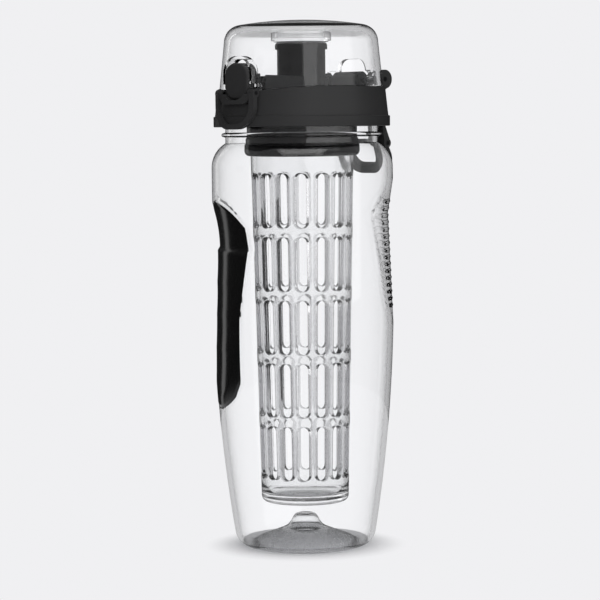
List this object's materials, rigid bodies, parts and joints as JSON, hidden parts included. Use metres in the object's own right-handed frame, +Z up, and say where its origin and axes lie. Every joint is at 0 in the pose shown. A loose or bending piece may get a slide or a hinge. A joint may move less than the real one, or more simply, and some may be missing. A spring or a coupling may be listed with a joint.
{
  "type": "fruit infuser water bottle",
  "caption": "Clear waisted water bottle with a slotted infuser basket, black screw cap, flip dome lid with push latch, spout, lock bail, carry loop and rubber grip.",
  "frame": {"origin": "centre of the bottle's foot ring, on the plane it stands on", "axes": "+Z up along the bottle's axis, -Y towards the latch button, +Y towards the lid's hinge and the carry loop"},
  "size_m": [0.0904, 0.0991, 0.263],
  "materials": {
    "clear_plastic": "clear moulded plastic, polished",
    "black_rubber": "smooth soft black rubber",
    "black_matte": "fine satin black plastic",
    "black_gloss": "glossy black plastic",
    "silicone": "translucent silicone",
    "steel": "plain drawn steel"
  },
  "bodies": {
    "bottle": {"bottle_body": "clear_plastic", "rubber_grip": "black_rubber"},
    "gasket": {"cap_gasket": "silicone"},
    "cap": {"cap_base": "black_matte", "spout": "black_gloss", "spout_seal": "silicone", "hinge_pin": "steel", "loop_pin": "steel", "latch_spring": "steel", "bail_pin_left": "steel", "bail_pin_right": "steel"},
    "lid": {"dome_lid": "clear_plastic", "lid_seal": "silicone"},
    "button": {"latch_button": "black_matte"},
    "bail": {"lock_bail": "black_matte"},
    "loop": {"carry_loop": "black_matte"},
    "infuser": {"infuser_collar": "black_gloss", "infuser_basket": "clear_plastic", "infuser_seal": "silicone"}
  },
  "joints": [
    {"name": "cap_lift", "type": "slide", "parent": "bottle", "child": "gasket", "axis": [0, 0, 1], "range_m": [0, 0.21]},
    {"name": "cap_twist", "type": "hinge", "parent": "gasket", "child": "cap", "pos_m": [0, 0, 0.2215], "axis": [0, 0, 1], "range_deg": [0, 540]},
    {"name": "lid_open", "type": "hinge", "parent": "cap", "child": "lid", "pos_m": [0, 0.0345, 0.2335], "axis": [-1, 0, 0], "range_deg": [0, 110]},
    {"name": "button_press", "type": "slide", "parent": "cap", "child": "button", "axis": [0, 1, 0], "range_m": [0, 0.002], "stiffness_N_per_m": 600, "springref_m": -0.002, "deforming": ["latch_spring"]},
    {"name": "bail_swing", "type": "hinge", "parent": "cap", "child": "bail", "pos_m": [0, -0.0428, 0.2265], "axis": [-1, 0, 0], "range_deg": [0, 160]},
    {"name": "loop_swing", "type": "hinge", "parent": "cap", "child": "loop", "pos_m": [0, 0.043, 0.2016], "axis": [1, 0, 0], "range_deg": [0, 80]},
    {"name": "infuser_twist", "type": "hinge", "parent": "cap", "child": "infuser", "pos_m": [0, 0, 0.21], "axis": [0, 0, 1], "range_deg": [0, 360]}
  ]
}
